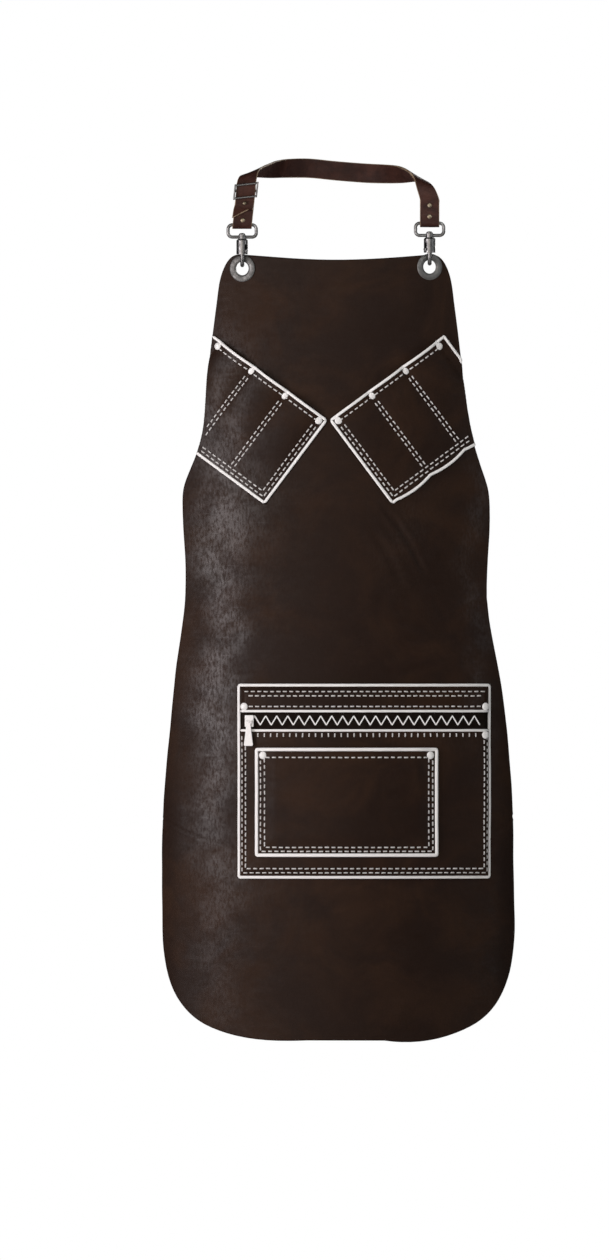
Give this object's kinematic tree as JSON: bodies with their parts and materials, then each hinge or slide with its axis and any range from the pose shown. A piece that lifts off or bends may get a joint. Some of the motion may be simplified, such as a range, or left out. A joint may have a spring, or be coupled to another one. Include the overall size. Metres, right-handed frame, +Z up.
{
  "type": "leather work apron",
  "caption": "Dark leather bib apron with tool pockets and a zipped lap pocket, hung by a neck strap on two swivel snap hooks through eyelets.",
  "frame": {"origin": "middle of the neck strap behind the neck, where the apron is held up", "axes": "+Z up, the front of the apron faces -Y, +X to the right of someone looking at the front"},
  "size_m": [0.364, 0.1406, 0.9113],
  "materials": {
    "apron_leather": "waxed pull-up leather",
    "strap_leather": "smooth bridle leather",
    "white_piping": "woven cord",
    "white_enamel": "gloss",
    "nickel": "tumbled nickel plate",
    "buckle_nickel": "satin",
    "brass": "antique",
    "zip_tape": "woven tape",
    "zip_white": "satin",
    "spring_steel": "bright wire"
  },
  "bodies": {
    "neck_strap": {"long_neck_strap": "strap_leather", "short_strap": "strap_leather", "slide_buckle": "buckle_nickel", "tail_stud": "brass", "brass_rivets": "brass"},
    "left_eye": {"left_swivel_eye": "nickel"},
    "right_eye": {"right_swivel_eye": "nickel"},
    "left_hook": {"left_hook": "nickel", "left_swivel_rivet": "nickel", "left_bolt_spring": "spring_steel"},
    "right_hook": {"right_hook": "nickel", "right_swivel_rivet": "nickel", "right_bolt_spring": "spring_steel"},
    "left_bolt": {"left_bolt": "nickel"},
    "right_bolt": {"right_bolt": "nickel"},
    "apron": {"apron_panel": "apron_leather", "left_chest_pocket": "apron_leather", "right_chest_pocket": "apron_leather", "lap_pocket_top_strip": "apron_leather", "lap_pocket_front": "apron_leather", "patch_pocket": "apron_leather", "left_chest_piping": "white_piping", "right_chest_piping": "white_piping", "lap_pocket_piping": "white_piping", "zip_edge_piping": "white_piping", "patch_pocket_piping": "white_piping", "pocket_rivets": "white_enamel", "left_eyelet": "nickel", "right_eyelet": "nickel", "left_eyelet_washer": "nickel", "right_eyelet_washer": "nickel", "zip_tape_upper": "zip_tape", "zip_tape_lower": "zip_tape", "zip_coil": "zip_white"},
    "zip_slider": {"zip_slider": "zip_white"},
    "zip_pull": {"zip_pull": "zip_white"}
  },
  "joints": [
    {"name": "left_eye_swing", "type": "hinge", "parent": "neck_strap", "child": "left_eye", "pos_m": [-0.0965, -0.105, -0.057], "axis": [1, 0, 0], "range_deg": [-20, 20]},
    {"name": "right_eye_swing", "type": "hinge", "parent": "neck_strap", "child": "right_eye", "pos_m": [0.0965, -0.105, -0.0553], "axis": [1, 0, 0], "range_deg": [-20, 20]},
    {"name": "left_hook_swivel", "type": "hinge", "parent": "left_eye", "child": "left_hook", "pos_m": [-0.0965, -0.105, -0.0716], "axis": [0, 0, 1], "range_deg": [-6, 6]},
    {"name": "right_hook_swivel", "type": "hinge", "parent": "right_eye", "child": "right_hook", "pos_m": [0.0965, -0.105, -0.0699], "axis": [0, 0, 1], "range_deg": [-6, 6]},
    {"name": "left_bolt_slide", "type": "slide", "parent": "left_hook", "child": "left_bolt", "axis": [0, 0, 1], "range_m": [0, 0.0054], "stiffness_N_per_m": 250, "springref_m": -0.003, "deforming": ["left_bolt_spring"]},
    {"name": "right_bolt_slide", "type": "slide", "parent": "right_hook", "child": "right_bolt", "axis": [0, 0, 1], "range_m": [0, 0.0054], "stiffness_N_per_m": 250, "springref_m": -0.003, "deforming": ["right_bolt_spring"]},
    {"name": "apron_swing", "type": "hinge", "parent": "left_eye", "child": "apron", "pos_m": [0, -0.105, -0.0973], "axis": [1, 0, 0], "range_deg": [-10, 10]},
    {"name": "zip_travel", "type": "hinge", "parent": "apron", "child": "zip_slider", "pos_m": [0, 0.17826, -0.568], "axis": [0, 0, 1], "range_deg": [0, 42.5]},
    {"name": "zip_pull_flip", "type": "hinge", "parent": "zip_slider", "child": "zip_pull", "pos_m": [-0.09006, -0.12208, -0.569], "axis": [-0.9579, 0.2872, 0], "range_deg": [0, 150]}
  ],
  "couplings": [
    {"joint": "right_eye_swing", "follows": "left_eye_swing", "ratio": 1}
  ]
}
